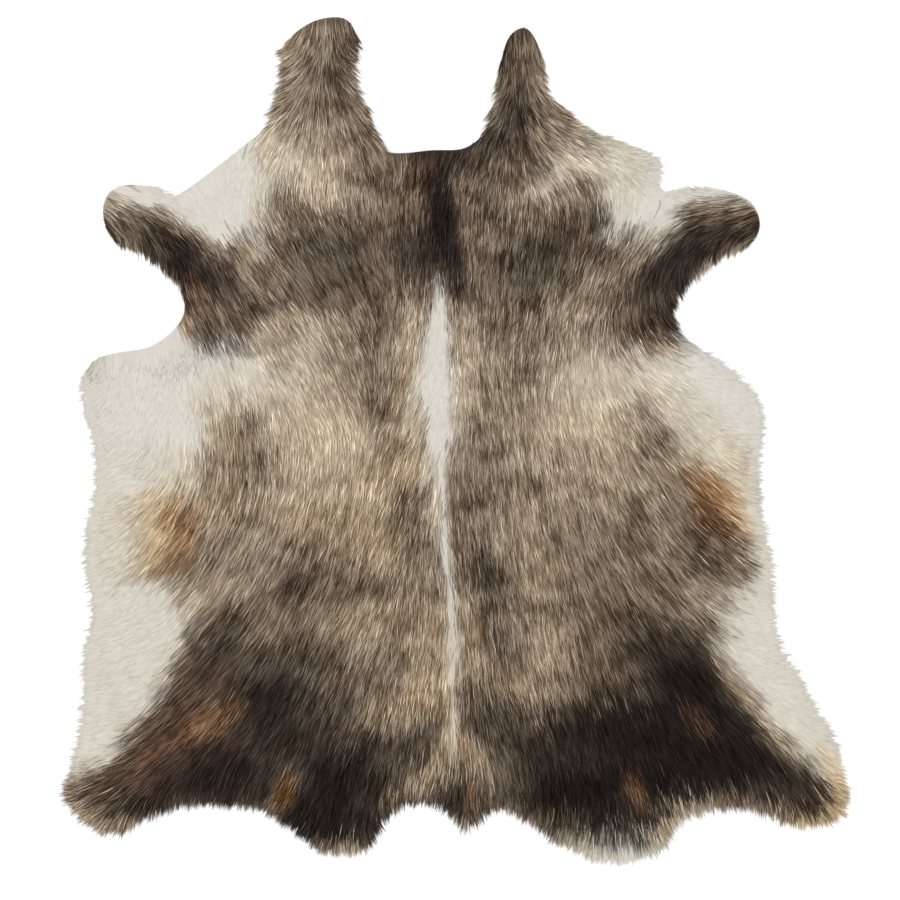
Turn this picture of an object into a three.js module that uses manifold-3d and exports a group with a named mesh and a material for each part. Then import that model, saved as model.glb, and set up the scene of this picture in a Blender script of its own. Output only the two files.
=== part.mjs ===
// A whole cowhide laid flat as a rug, hair side up.
// It is one skin: the trimmed leather and the pile that lies on it are a single solid.
// Millimetres, +Z up, +Y towards the neck, +X towards the hide's right side as seen from above.

import * as THREE from "three";
import { mergeVertices } from "three/addons/utils/BufferGeometryUtils.js";
import Module from "manifold-3d";

// Driving sizes
const LEATHER_THICKNESS = 3;
const PILE_AT_NECK = 6; // lying height of the short hair over the nape
const PILE_AT_RUMP = 11; // lying height of the long hair over the rump
const EDGE_HEIGHT = 5; // height of the hair tips at the very edge
const EDGE_SLOPE_WIDTH = 70; // how far in from the edge the pile reaches its full height
const NECK_Y = 700; // where the short hair begins
const RUMP_Y = -800; // where the long hair begins
const SURFACE_STEP = 60; // spacing of the points that carry the uneven upper surface
const STEPS_PER_SPAN = 3; // straight pieces between two rows of the outline

// Finish of the pile as a whole
const PILE_COLOR = 0x8b7d6c;
const PILE_ROUGHNESS = 0.85;

function table(columns, rows) {
  return rows.map((row) => Object.fromEntries(columns.map((name, i) => [name, row[i]])));
}

// Outline at the hair tips, clockwise from the left end of the nape.
// Each stretch of the hide has its own short table.
const POINT = ["x", "y"];

const NAPE = table(POINT, [
  [-165, 696],
  [-130, 690],
  [-55, 698],
  [24, 702],
]);

const RIGHT_NECK_FLAP = table(POINT, [
  [62, 735],
  [78, 785],
  [95, 825],
  [98, 860],
  [115, 930],
  [132, 974],
  [170, 994],
  [206, 938],
  [218, 890],
  [228, 833],
  [262, 803],
  [295, 773],
]);

const RIGHT_SHOULDER = table(POINT, [
  [348, 737],
  [444, 701],
  [478, 689],
  [504, 655],
  [492, 614],
]);

const RIGHT_FORELEG = table(POINT, [
  [525, 602],
  [600, 607],
  [641, 602],
  [708, 576],
  [728, 545],
  [732, 506],
  [700, 458],
  [660, 444],
  [612, 405],
  [569, 372],
  [540, 325],
  [538, 280],
  [559, 247],
]);

const RIGHT_FLANK = table(POINT, [
  [588, 221],
  [641, 190],
  [700, 146],
  [739, 94],
  [749, 38],
  [738, -46],
  [746, -178],
  [770, -300],
  [771, -400],
  [790, -495],
  [828, -550],
  [886, -660],
  [920, -710],
]);

const RIGHT_HIND_LEG = table(POINT, [
  [932, -766],
  [953, -855],
  [938, -898],
  [900, -926],
  [847, -936],
  [792, -929],
  [708, -893],
  [636, -893],
  [588, -902],
  [550, -919],
]);

const RIGHT_RUMP = table(POINT, [
  [511, -986],
  [456, -1010],
  [391, -1020],
  [336, -1015],
  [276, -984],
  [233, -967],
  [197, -938],
  [156, -914],
  [115, -890],
]);

const TAIL_ROOT = table(POINT, [
  [84, -902],
  [60, -926],
  [22, -948],
  [-7, -919],
  [-36, -888],
]);

const LEFT_RUMP = table(POINT, [
  [-79, -876],
  [-120, -886],
  [-156, -910],
  [-180, -953],
  [-205, -988],
  [-250, -998],
  [-300, -996],
  [-348, -977],
  [-439, -907],
]);

const LEFT_HIND_LEG = table(POINT, [
  [-492, -888],
  [-560, -882],
  [-624, -880],
  [-737, -917],
  [-790, -945],
  [-833, -953],
  [-880, -930],
  [-922, -895],
  [-952, -852],
  [-934, -794],
]);

const LEFT_FLANK = table(POINT, [
  [-910, -700],
  [-898, -598],
  [-898, -514],
  [-880, -430],
  [-880, -385],
  [-895, -298],
  [-894, -214],
  [-875, -145],
  [-870, -90],
  [-875, 0],
  [-893, 55],
  [-902, 98],
  [-893, 156],
]);

const LEFT_FLANK_TOP = table(POINT, [
  [-872, 192],
  [-797, 214],
  [-737, 223],
  [-690, 250],
  [-655, 290],
  [-648, 319],
]);

const LEFT_FORELEG = table(POINT, [
  [-670, 372],
  [-746, 434],
  [-809, 466],
  [-832, 495],
  [-845, 550],
  [-833, 593],
  [-802, 612],
  [-756, 614],
  [-708, 605],
  [-684, 586],
]);

const LEFT_SHOULDER = table(POINT, [
  [-646, 602],
  [-559, 667],
  [-492, 720],
  [-463, 749],
]);

const LEFT_NECK_FLAP = table(POINT, [
  [-446, 806],
  [-427, 886],
  [-414, 955],
  [-372, 988],
  [-338, 1008],
  [-305, 1016],
  [-262, 1014],
  [-228, 967],
  [-228, 902],
  [-223, 847],
  [-202, 790],
  [-173, 712],
]);

const STRETCHES = [
  NAPE,
  RIGHT_NECK_FLAP,
  RIGHT_SHOULDER,
  RIGHT_FORELEG,
  RIGHT_FLANK,
  RIGHT_HIND_LEG,
  RIGHT_RUMP,
  TAIL_ROOT,
  LEFT_RUMP,
  LEFT_HIND_LEG,
  LEFT_FLANK,
  LEFT_FLANK_TOP,
  LEFT_FORELEG,
  LEFT_SHOULDER,
  LEFT_NECK_FLAP,
];

// Low swells in the pile where the flanks and the shoulders don't lie quite flat.
// heading is in degrees from +X, length and width are half sizes, rise is negative for a trough.
const SWELLS = table(["x", "y", "heading", "length", "width", "rise"], [
  [-760, 60, 5, 220, 75, 2.5],
  [-740, -390, -12, 240, 80, 2.5],
  [660, 60, -10, 200, 80, 2],
  [700, -560, -50, 240, 80, 2.5],
  [-330, 480, 60, 260, 90, -1.5],
  [330, 480, -60, 260, 90, -1.5],
  [0, 60, 90, 420, 70, 1.5],
]);

// Outline
function outlinePoints() {
  const rows = STRETCHES.flat().map(({ x, y }) => new THREE.Vector3(x, y, 0));
  const curve = new THREE.CatmullRomCurve3(rows, true, "centripetal");
  const count = rows.length * STEPS_PER_SPAN;
  return Array.from({ length: count }, (_, i) => {
    const { x, y } = curve.getPoint(i / count);
    return new THREE.Vector2(x, y);
  });
}

function centred(points) {
  const box = new THREE.Box2().setFromPoints(points);
  const centre = box.getCenter(new THREE.Vector2());
  return points.map((point) => point.clone().sub(centre));
}

function distanceToSegment(x, y, start, end) {
  const along = end.clone().sub(start);
  const offset = new THREE.Vector2(x - start.x, y - start.y);
  const share = THREE.MathUtils.clamp(offset.dot(along) / along.lengthSq(), 0, 1);
  return offset.sub(along.multiplyScalar(share)).length();
}

function isInside(x, y, outline) {
  let inside = false;
  outline.forEach((start, i) => {
    const end = outline[(i + 1) % outline.length];
    const crosses = start.y > y !== end.y > y;
    if (crosses && x < start.x + ((end.x - start.x) * (y - start.y)) / (end.y - start.y)) {
      inside = !inside;
    }
  });
  return inside;
}

function distanceInside(x, y, outline) {
  if (!isInside(x, y, outline)) {
    return 0;
  }
  return outline.reduce((nearest, start, i) => {
    const end = outline[(i + 1) % outline.length];
    return Math.min(nearest, distanceToSegment(x, y, start, end));
  }, Infinity);
}

// Upper surface
function swellAt(x, y) {
  return SWELLS.reduce((sum, swell) => {
    const heading = THREE.MathUtils.degToRad(swell.heading);
    const dx = x - swell.x;
    const dy = y - swell.y;
    const along = (dx * Math.cos(heading) + dy * Math.sin(heading)) / swell.length;
    const across = (dy * Math.cos(heading) - dx * Math.sin(heading)) / swell.width;
    return sum + swell.rise * Math.exp(-(along * along) - across * across);
  }, 0);
}

function surfaceHeight(x, y, outline) {
  const towardsRump = 1 - THREE.MathUtils.smoothstep(y, RUMP_Y, NECK_Y);
  const pile = THREE.MathUtils.lerp(PILE_AT_NECK, PILE_AT_RUMP, towardsRump);
  const full = LEATHER_THICKNESS + pile + swellAt(x, y);
  const inwards = THREE.MathUtils.smoothstep(distanceInside(x, y, outline), 0, EDGE_SLOPE_WIDTH);
  return THREE.MathUtils.lerp(EDGE_HEIGHT, full, inwards);
}

// Solids
function manifoldOf(wasm, geometry) {
  const bare = geometry.clone();
  bare.deleteAttribute("normal");
  bare.deleteAttribute("uv");
  const merged = mergeVertices(bare);
  return new wasm.Manifold(
    new wasm.Mesh({
      numProp: 3,
      vertProperties: Float32Array.from(merged.attributes.position.array),
      triVerts: Uint32Array.from(merged.index.array),
    }),
  );
}

function geometryOf(solid) {
  const mesh = solid.getMesh();
  const geometry = new THREE.BufferGeometry();
  geometry.setAttribute("position", new THREE.BufferAttribute(mesh.vertProperties, 3));
  geometry.setIndex(new THREE.BufferAttribute(mesh.triVerts, 1));
  geometry.computeVertexNormals();
  return geometry;
}

function prism(outline) {
  const tallest = 2 * (LEATHER_THICKNESS + PILE_AT_RUMP);
  return new THREE.ExtrudeGeometry(new THREE.Shape(outline), { depth: tallest, bevelEnabled: false });
}

// A slab that is wider than the hide and carries its upper surface
function surfaceSlab(outline) {
  const size = new THREE.Box2().setFromPoints(outline).getSize(new THREE.Vector2());
  const cellsAcross = Math.ceil(size.x / SURFACE_STEP) + 1;
  const cellsAlong = Math.ceil(size.y / SURFACE_STEP) + 1;
  const width = cellsAcross * SURFACE_STEP;
  const length = cellsAlong * SURFACE_STEP;
  const slab = new THREE.BoxGeometry(width, length, 2 * LEATHER_THICKNESS, cellsAcross, cellsAlong, 1);
  const position = slab.attributes.position;
  for (let i = 0; i < position.count; i += 1) {
    if (position.getZ(i) > 0) {
      position.setZ(i, surfaceHeight(position.getX(i), position.getY(i), outline));
    }
  }
  return slab;
}

async function hide() {
  const wasm = await Module();
  wasm.setup();
  const outline = centred(outlinePoints());
  const body = manifoldOf(wasm, prism(outline)).intersect(manifoldOf(wasm, surfaceSlab(outline)));
  const material = new THREE.MeshStandardMaterial({
    color: PILE_COLOR,
    roughness: PILE_ROUGHNESS,
    metalness: 0,
  });
  const mesh = new THREE.Mesh(geometryOf(body), material);
  mesh.name = "hide";
  return mesh;
}

const rug = new THREE.Group();
rug.add(await hide());

export default rug;
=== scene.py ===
"""A whole cowhide laid flat as a rug, hair side up, seen from straight above.

The leather is one thin sheet. The coat on it is made of separate strands: each strand grows from its own
root, follows the lie of the hair, leans on its neighbours and takes the coat's colour where it shows.
Metres, +Z up, +Y towards the neck, +X towards the right-hand legs. Tables are in centimetres and degrees
unless they say otherwise.
"""

import math
from collections import namedtuple
from itertools import product

import bpy
import numpy as np
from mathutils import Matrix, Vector, geometry


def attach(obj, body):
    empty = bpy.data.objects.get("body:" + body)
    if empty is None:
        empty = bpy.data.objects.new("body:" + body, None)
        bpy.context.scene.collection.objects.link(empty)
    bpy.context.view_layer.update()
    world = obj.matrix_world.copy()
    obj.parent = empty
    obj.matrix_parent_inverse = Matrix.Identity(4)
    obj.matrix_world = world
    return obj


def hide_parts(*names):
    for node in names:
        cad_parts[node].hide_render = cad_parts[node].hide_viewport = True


CM = 0.01
MM = 0.001
TINY = 1e-9  # keeps a division by a length from failing

# Leather
LEATHER_THICKNESS = 2.2 * MM
LEATHER_STEP = 13 * MM  # spacing of the points on the leather
EDGE_STEP = 7 * MM  # spacing of the points along the cut edge
EDGE_MARGIN = 6 * MM  # inner points keep this far from the cut edge
MERGE_DISTANCE = 0.001 * MM
SAME_POINT = 0.05 * MM  # the solid's corners this near each other are one point
UNDERSIDE_HEIGHT = 0.1 * MM  # and its faces below this are the underside
LIFT_HEIGHT = 5 * MM  # slight lifts of the leather's edge: their height, reach inwards and spacing
LIFT_REACH = 90 * MM
LIFT_CELL = 130 * MM
LIFT_NOISE = (0.45, 0.95)  # from no lift to the full height
LIFT_SEED = 7
PAINTED_SHADE_UNDER_HAIR = 0.45  # painted shade under the hair: how much darker the leather is than the mixed hair on it

# Coat
FIELD_STEP = 5 * MM  # spacing of the grids that hold distances and directions
FIELD_MARGIN = 12 * CM
CUT_MARGIN = 0.5 * MM  # hair starts this far inside the hair tips' outline where it points inwards
OVERHANG = 0.88  # share of a strand's length that reaches past the leather at an edge it points over
FAN_WIDTH = 70 * MM  # the edge's hair turns outwards within this width
FAN_TURN = 0.75
FAN_FACING = (-0.1, 0.5)  # how squarely hair faces outwards where the fan starts and is full
OVERHANG_FACING = (0, 0.9)  # and where the overhang starts and is full
FLOW_REACH = 8 * CM  # how far a row of the directions counts
FAR_WEIGHT = 1e-4  # what a row still counts beyond its reach
DEPTH_ROUNDS = 3  # rounds of smoothing for the depths that give the way out
OVERHANG_ROUNDS = 24
DRAW_ROUNDS = 6  # and for how far the cut edge is drawn in, and for that edge
EDGE_ROUNDS = 4
STREAK_STRIDE = 4 * MM
STREAK_STRIDES = 7  # half the length of a streak, in strides

# Streaks along the lie of the hair and bands across it.
# Table columns: cell size in millimetres, seed, contrast.
STREAKS_ALONG = [
    (1.8, 51, 0.32),
    (5.0, 52, 0.14),
]
BANDS_ACROSS = [
    (13.0, 53, 0.17),
    (30.0, 54, 0.17),
]
EVEN_CONTRAST = 0.03  # what is left of the streaks where the coat is white

# The way the hair points, from root to tip, with 0 along +X and 90 towards the neck.
# Table columns: x, y, heading.
HAIR_DIRECTIONS = [
    # left neck flap
    (-30, 100, -90), (-37, 95, -118), (-41.5, 91.5, -150), (-42.5, 84, -145), (-44.5, 77, -130),
    (-32, 82, -88), (-37, 72, -100), (-25, 94, -55), (-23, 84, -50), (-20, 76, -50), (-26, 75, -75),
    (-30, 65, -88),
    # left shoulder and foreleg
    (-47, 70, -110), (-55, 61, -85), (-63.5, 59, -45), (-73, 60, 5), (-82, 57, -20), (-79, 52, -45),
    (-81.5, 48, -75), (-75.5, 47, -75), (-73, 54, -22), (-66, 52, -38), (-69.5, 43.5, -65),
    (-61, 43.5, -55), (-66.5, 36, -75), (-61, 31.5, -65), (-65, 27, -65), (-51.5, 43.5, -58),
    (-51.5, 29, -55), (-37, 48, -62), (-37, 34, -55), (-25, 46, -65), (-27.5, 27, -68),
    # neck
    (-15.5, 53, -90), (-6, 65, -97), (-3.5, 48, -92), (5, 65, -105), (6, 46, -90),
    # right neck flap
    (15.5, 94, -90), (11, 85.5, -120), (8, 77.5, -140), (6, 72, -120), (14.5, 79.5, -90), (20.5, 89, -60),
    (24, 80, -30), (29, 76, -18), (20.5, 72, -55), (13, 65, -90),
    # right shoulder and foreleg
    (25, 67.5, -40), (35, 70, -22), (45.5, 67.5, -8), (49, 64, 0), (30, 60, -65), (35, 56.5, -95),
    (43, 57, -95), (37, 49.5, -115), (25, 48, -100), (15.5, 50.5, -98), (49, 49.5, -140), (56.5, 58, 165),
    (63.5, 60, 172), (69.5, 56.5, -175), (72, 52, -160), (63.5, 54, -170), (59, 49.5, -150),
    (69, 46.5, -110), (62.5, 43.5, -105), (54, 43.5, -118), (56.5, 38.5, -100), (48, 36, -102),
    (53, 32.5, -85), (53, 26.5, -50), (44.5, 25.5, -75), (35, 36, -112), (35, 24, -95), (20.5, 26.5, -98),
    # right flank
    (44.5, 20.5, -35), (56.5, 22, -12), (66, 16, -8), (72, 8.5, -3), (59, 10, -35), (73, -2, -5),
    (44.5, 5, -60), (35, 2.5, -76), (54, -2, -48), (63.5, -9.5, -45), (73, -16.5, -18), (66, -21.5, -45),
    (74.5, -30, -28), (59, -33.5, -45), (47, -14, -58), (47, -31, -55), (32.5, -14, -73), (35, -31, -68),
    (20.5, -9.5, -80), (20.5, -33.5, -80), (6, 10, -83), (5, -14, -84), (6, -43, -84),
    # right hind leg and rump
    (75.5, -43, -5), (68.5, -48, -30), (80.5, -55, -10), (89, -69.5, -22), (80.5, -67, -38),
    (59, -52.5, -58), (71, -64.5, -45), (80.5, -76.5, -60), (89, -81.5, -55), (93.5, -84, -35),
    (92.5, -90, -45), (83, -91, -82), (68.5, -86, -74), (59, -74, -62), (56.5, -90, -80), (44.5, -72, -70),
    (47, -98, -75), (35, -99.5, -92), (32.5, -81.5, -78), (23, -62, -76), (25, -93.5, -100),
    # tail
    (15.5, -86, -82), (11, -72, -72), (2.5, -91, -92), (-1, -69.5, -90), (-6, -81.5, -100),
    # left rump and hind leg
    (-8.5, -48, -97), (-13, -62, -100), (-13, -84, -105), (-25, -48, -112), (-27.5, -67, -112),
    (-25, -86, -103), (-25, -98, -88), (-35, -96, -112), (-42, -90, -122), (-55, -86, -108),
    (-49, -62, -120), (-61, -69.5, -135), (-73, -79, -145), (-85, -84, -155), (-92, -86, -165),
    (-87.5, -93, -130), (-78, -93, -112), (-66, -88, -100),
    # left flank
    (-54, -43, -125), (-61, -50, -130), (-66, -57.5, -135), (-37, -38, -115), (-47, -28.5, -115),
    (-51.5, -24, -115), (-30, 27, -62), (-39.5, 19.5, -60), (-32.5, 10, -70), (-51.5, 2.5, -82),
    (-49, -7, -85), (-51.5, -14, -100), (-61, -19, -115), (-68.5, -26, -125), (-73, -31, -130),
    (-37, -14, -108), (-27.5, -9.5, -95), (-27.5, -24, -105), (-9.5, 5, -108), (-13, -9.5, -105),
    (-3.5, 34, -90), (-12, 25, -100), (-59, 22, -70), (-73, 10, -95), (-89, 2.5, -135), (-88, -4.5, -145),
    (-87, -12, -150), (-89, -24, -150), (-88, -36, -150), (-85, -28.5, -140), (-80.5, -50, -150),
    (-90, -60, -165), (-91, -72, -165), (-93.5, -81.5, -165),
]

# Table columns: x, y, length. How long the hair is.
HAIR_LENGTHS = [
    # neck, shoulders and forelegs
    (-30, 88, 4.0), (15, 85, 3.8), (-4, 64, 3.6), (-75, 52, 3.8), (65, 53, 3.8), (-50, 60, 4.0),
    (42, 60, 4.0),
    # back and flanks
    (0, 30, 4.2), (-80, 5, 4.2), (68, 5, 4.4), (-40, 10, 4.6), (35, 5, 4.6), (-80, -50, 4.8),
    (78, -55, 4.8), (0, -30, 4.8), (-40, -40, 5.2), (40, -40, 5.2),
    # rump, tail and hind legs
    (-50, -80, 5.8), (50, -80, 6.0), (-25, -95, 5.6), (35, -98, 6.0), (2, -90, 5.0), (-88, -86, 5.0),
    (88, -86, 5.2),
]
LENGTH_REACH = 25 * CM

# Tones of the coat
TONES = {
    "white": (205, 201, 192),
    "ivory": (204, 199, 187),
    "cream": (199, 190, 172),
    "beige": (191, 174, 151),
    "sand": (176, 154, 124),
    "taupe": (154, 136, 115),
    "stone": (132, 115, 97),
    "umber": (111, 91, 73),
    "dusk": (87, 74, 61),
    "dark": (57, 44, 35),
    "black": (27, 19, 15),
    "honey": (206, 181, 141),
    "ginger": (166, 121, 74),
    "rust": (124, 84, 54),
    "chestnut": (94, 68, 51),
    "liver": (70, 46, 36),
}
BASE_TONE = "taupe"

# Table columns: x, y, half length, half width, heading of the length, tone, strength.
# Each patch is a soft oval over the ones before it.
PATCHES = [
    # shoulders, white
    (-60, 70, 18, 6, 40, "white", 1), (48, 71, 9, 5, -10, "white", 1), (-55, 61.5, 13, 8, 40, "white", 1),
    (-57.5, 54, 8.5, 6.5, -20, "white", 0.97), (-51.5, 53, 5, 6, 90, "white", 0.85),
    (-53, 66, 9, 5, 40, "white", 0.95), (-47, 65, 10, 5, 70, "white", 0.8),
    (-44, 62, 11, 4.6, 85, "cream", 0.85), (-77, 59.5, 9, 2.8, 3, "white", 1),
    (-71, 58, 6, 2.6, -15, "white", 1), (45.5, 66, 8, 8, 0, "white", 0.97),
    (45.5, 56.5, 9.5, 9.5, 0, "white", 1), (56.5, 59.3, 9, 2.4, 0, "white", 1),
    # flanks, white
    (-94, -5, 26, 12, 90, "white", 1), (-95, -48, 30, 13, 90, "white", 1), (-80, 26, 18, 7, 0, "white", 1),
    (76, 14, 20, 9, -50, "white", 1), (82, -45, 14, 9, 90, "white", 1), (92, -62, 14, 7, -60, "white", 1),
    (-73, 13.5, 18, 8.5, 0, "white", 1), (-61, 17, 14, 5, -5, "white", 0.97),
    (-73, 2.5, 14.5, 8.5, 0, "white", 1), (-64, 0, 7, 5.5, 90, "white", 0.85),
    (-82, -14, 15, 8.5, 90, "ivory", 1), (-84, -27, 15, 6, 90, "ivory", 1),
    (-54, 21.5, 8, 4, 0, "white", 0.9), (-51, 17, 6, 4, 0, "white", 0.8), (-78, -43, 14, 7, 0, "ivory", 1),
    (-72, -40, 12, 4.6, 0, "ivory", 0.9), (-79, -55, 13, 11, 90, "ivory", 1),
    (-85, -69.5, 10, 6, 70, "ivory", 1), (62.5, 12, 13, 9, -40, "white", 1),
    (54, 18, 12, 4, -25, "white", 0.97), (68, 2.5, 9, 7.5, 90, "white", 1),
    (70, -9.5, 9, 4, 90, "white", 0.8), (59, 2.5, 8, 5, -45, "cream", 0.6),
    (70, -46, 11, 7.5, 90, "ivory", 1), (69, -38, 7, 4, 0, "ivory", 0.85),
    (78, -56, 12, 7.5, -50, "ivory", 1), (86, -68, 11, 6, -58, "ivory", 1),
    (90, -76.5, 6, 4.4, -60, "ivory", 0.9),
    # left neck flap
    (-33, 87, 15, 10, 90, "stone", 0.5), (-27, 91, 7, 4, 90, "dusk", 0.75),
    (-25, 97, 6, 3.5, 90, "stone", 0.5), (-31, 79.5, 8, 3.5, 0, "stone", 0.5),
    (-22.5, 74, 9, 3, -60, "stone", 0.5), (-33.5, 85.5, 5, 4, 90, "dusk", 0.5),
    (-41, 75, 7, 4, 70, "beige", 0.6), (-36, 70, 11, 6, -10, "beige", 0.85),
    (-38, 80, 6, 6, 0, "stone", 0.6), (-31, 60, 11, 5, -25, "beige", 0.9),
    (-39, 66, 6, 5, 0, "cream", 0.7), (-30, 63, 7, 6, 0, "beige", 0.5), (-40, 94, 5, 6, 0, "beige", 0.6),
    (-19, 66, 6, 5, 0, "umber", 0.7), (-13, 60, 12, 5, 90, "umber", 0.65),
    # left shoulder
    (-39.5, 55.5, 6, 4.5, 90, "stone", 0.6), (-37, 44, 8, 7, 0, "dusk", 0.75),
    (-23, 48, 5, 9, 0, "dusk", 0.6), (-44, 48, 5, 4, 0, "umber", 0.5), (-29, 48, 8, 7, 0, "dusk", 0.8),
    (-22.5, 37.5, 9, 6.5, 90, "dark", 0.75), (-46, 38.5, 6, 6, 0, "taupe", 0.6),
    (-45, 48, 7, 3, 90, "stone", 0.65), (-18, 52, 6, 6, 0, "umber", 0.6),
    (-19, 37.5, 6, 5, 0, "dusk", 0.6), (-37, 36.5, 7, 4, -20, "dusk", 0.75),
    (-45.5, 48, 3, 4, 90, "dusk", 0.6), (-26, 36, 8, 5, -40, "dark", 0.4),
    # neck
    (-6, 52, 20, 6, 90, "umber", 0.7), (-22, 62, 5, 5, 0, "umber", 0.5),
    (-18, 36, 11, 8, 30, "umber", 0.5), (-21, 51, 4, 6, 0, "dusk", 0.4),
    (-15.5, 58, 3, 8, 0, "stone", 0.6), (-10, 48, 5, 4, 0, "dark", 0.5), (9, 42, 20, 6, 90, "stone", 0.65),
    (11, 39, 9, 7, 0, "dusk", 0.6), (4, 54, 5, 6, 0, "dusk", 0.5), (-12, 46, 6, 6, 0, "dark", 0.6),
    (-7, 42, 6, 4.5, 0, "dark", 0.85), (0.3, 41, 8, 2.8, 99, "dark", 0.95),
    (-3.5, 58, 13, 4, 92, "black", 0.95), (-2, 50, 9, 2.8, 96, "black", 0.85),
    (-1, 69.5, 10, 3, 0, "dark", 0.75), (-6.5, 68, 4, 3.4, 90, "liver", 0.9),
    (3, 68, 5, 5, 0, "dark", 0.6), (4, 56.5, 14, 3, 90, "umber", 0.5),
    (-11.5, 35, 5, 2.4, 60, "dark", 0.35),
    # right neck flap
    (15.5, 86.5, 16, 6, 90, "dusk", 0.7), (14.5, 76, 9, 6, 90, "dark", 0.65),
    (15.5, 95, 5, 4, 90, "umber", 0.5), (22.5, 80, 5, 3, -50, "taupe", 0.6),
    (7, 71, 6, 3.4, 45, "dark", 0.6), (19, 68.5, 7, 5, -60, "umber", 0.45), (9, 60, 6, 3, 90, "dusk", 0.7),
    # right shoulder
    (35, 70.5, 8, 4, -20, "cream", 0.75), (35, 65, 6, 4, 0, "cream", 0.6),
    (27, 64.5, 10, 5.4, 30, "cream", 0.75), (30, 58, 5, 5, 40, "beige", 0.5),
    (33.5, 57, 6, 3, 90, "umber", 0.5), (39, 60, 5, 4, 0, "cream", 0.6), (18, 66, 5, 4, 0, "dusk", 0.4),
    (30, 72, 6, 3, -30, "umber", 0.3), (39, 71, 6, 2.4, -15, "cream", 0.7),
    (42, 64, 4, 5, 0, "cream", 0.7), (29, 59, 5, 4, 20, "stone", 0.6), (29.5, 50.5, 8, 6, 30, "dark", 0.6),
    (18, 52, 6.5, 6, 90, "umber", 0.6), (17.5, 41.5, 7, 6, 0, "dusk", 0.8), (24, 42, 8, 6, 0, "dusk", 0.7),
    (35, 43, 7, 7, 0, "stone", 0.75), (12.5, 48.5, 5, 4, 90, "dusk", 0.6),
    (34, 47, 7, 4, 10, "umber", 0.6), (42.5, 51.5, 7, 4, 15, "white", 0.85),
    (23, 47, 7, 5, 0, "dusk", 0.6), (20.5, 35, 8, 4, 0, "dusk", 0.6), (44, 36.5, 10, 4, 90, "umber", 0.8),
    # right foreleg
    (68.5, 53, 7, 4.4, 0, "umber", 1), (62.5, 52.5, 7, 4.2, 0, "umber", 1),
    (60, 59, 10, 2.6, -3, "white", 0.9), (70, 58.5, 6, 2.2, -20, "white", 0.9),
    (65, 49, 8, 3, 10, "dark", 0.95), (56, 45, 10, 5.4, 40, "dark", 1), (52, 41, 6, 5, 50, "black", 0.8),
    (49.5, 33.5, 10, 7, 75, "dark", 0.95), (48, 21.5, 6, 2.6, -20, "cream", 0.7),
    (43, 31.5, 6, 6, 0, "dusk", 0.7), (50, 29, 8, 4.6, 0, "dark", 0.95),
    (55, 25, 2.5, 1.5, -40, "rust", 0.7), (50.5, 23, 5, 1.5, -15, "ginger", 0.35),
    (34, 23.5, 9, 3, 0, "stone", 0.6), (57, 22, 5, 3, -30, "white", 0.9),
    (70, 57.4, 3.4, 2, -25, "cream", 0.7), (47.5, 48.8, 5, 2.2, -15, "cream", 0.6),
    (54, 27, 3, 2.6, 0, "dark", 0.6), (61.5, 56, 3.6, 2, 0, "umber", 0.5),
    # left foreleg
    (-79, 54.5, 7, 3, -10, "stone", 0.95), (-78, 50, 7, 3.4, -20, "dusk", 0.8),
    (-83, 57, 3, 4, 0, "cream", 0.8), (-69, 46, 8, 4.4, -42, "dark", 0.95),
    (-58, 51, 7, 2.8, -35, "white", 0.8), (-63, 41.5, 8, 4.6, -50, "black", 0.95),
    (-56.5, 36, 6.5, 5, -45, "dark", 0.85), (-63, 35, 5, 3.4, -80, "chestnut", 0.7),
    (-57, 25.5, 5, 3.2, 0, "dark", 0.65), (-66, 28.5, 3.5, 2, -70, "ginger", 0.9),
    (-71, 22.5, 6, 3.4, 10, "white", 1), (-60.5, 28, 5, 3.4, -70, "chestnut", 0.75),
    (-52, 28.5, 6, 3, 0, "umber", 0.6), (-52, 50.5, 6, 3.6, -30, "white", 0.9),
    (-47, 33.5, 6, 5, 0, "dusk", 0.7), (-53, 48.5, 3.5, 3.5, 0, "white", 0.95),
    (-56, 41, 8, 2.6, -40, "dark", 0.5), (-73, 47.5, 5, 2.6, -25, "umber", 0.4),
    (-72, 42.5, 5, 2, -40, "dark", 0.6), (-61.2, 35, 3, 2.4, -60, "rust", 0.5),
    (-75.6, 54, 4, 2.4, -15, "dusk", 0.4),
    # left of the back
    (-30, 28, 14, 4.5, 0, "taupe", 0.5), (-41, 24, 9, 5, 0, "taupe", 0.6),
    (-39.5, 18, 12, 6, 0, "cream", 0.4), (-33, 22, 8, 8, 0, "beige", 0.7),
    (-45, 26, 8, 4, -10, "beige", 0.5), (-51, 9, 9, 7, 20, "cream", 0.85),
    (-40, 5, 9, 6, 0, "cream", 0.45), (-33, 20, 6, 8, 0, "cream", 0.35),
    (-13.5, 17, 4, 8, 0, "beige", 0.7), (-45.5, 13.5, 10, 6, 0, "cream", 0.6),
    (-57, 9, 6, 5.5, 0, "cream", 0.8), (-30, 10, 10, 9, 0, "beige", 0.55),
    (-26.5, 22, 7, 7, 0, "stone", 0.4), (-17, 22, 12, 5, 90, "stone", 0.6),
    (-18.5, 9.5, 5, 3.8, 90, "umber", 0.8), (-18, 20, 5, 3, 90, "umber", 0.5),
    (-28, 8, 5, 3.6, 90, "stone", 0.4), (-14.5, 2.5, 5, 3.5, 80, "umber", 0.5),
    (-11, 24, 10, 3, 88, "beige", 0.5), (-11.5, 12, 11, 3, 85, "sand", 0.6),
    (-13, -2, 9, 5, 75, "sand", 0.6), (-33, 1.5, 17, 7, 0, "beige", 0.8), (-26, 0, 6, 9, 20, "beige", 0.5),
    (-28, -8.5, 12, 6, 10, "beige", 0.8), (-17, -9.5, 9, 6, 60, "sand", 0.7),
    (-7.5, -6, 14, 2.6, 97, "sand", 0.85), (-55, 24.5, 5, 2.6, 10, "dusk", 0.6),
    (-13, 5, 4, 3, 90, "beige", 0.4), (-51.5, 29, 3.4, 2.6, 0, "stone", 0.5),
    # left flank
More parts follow.
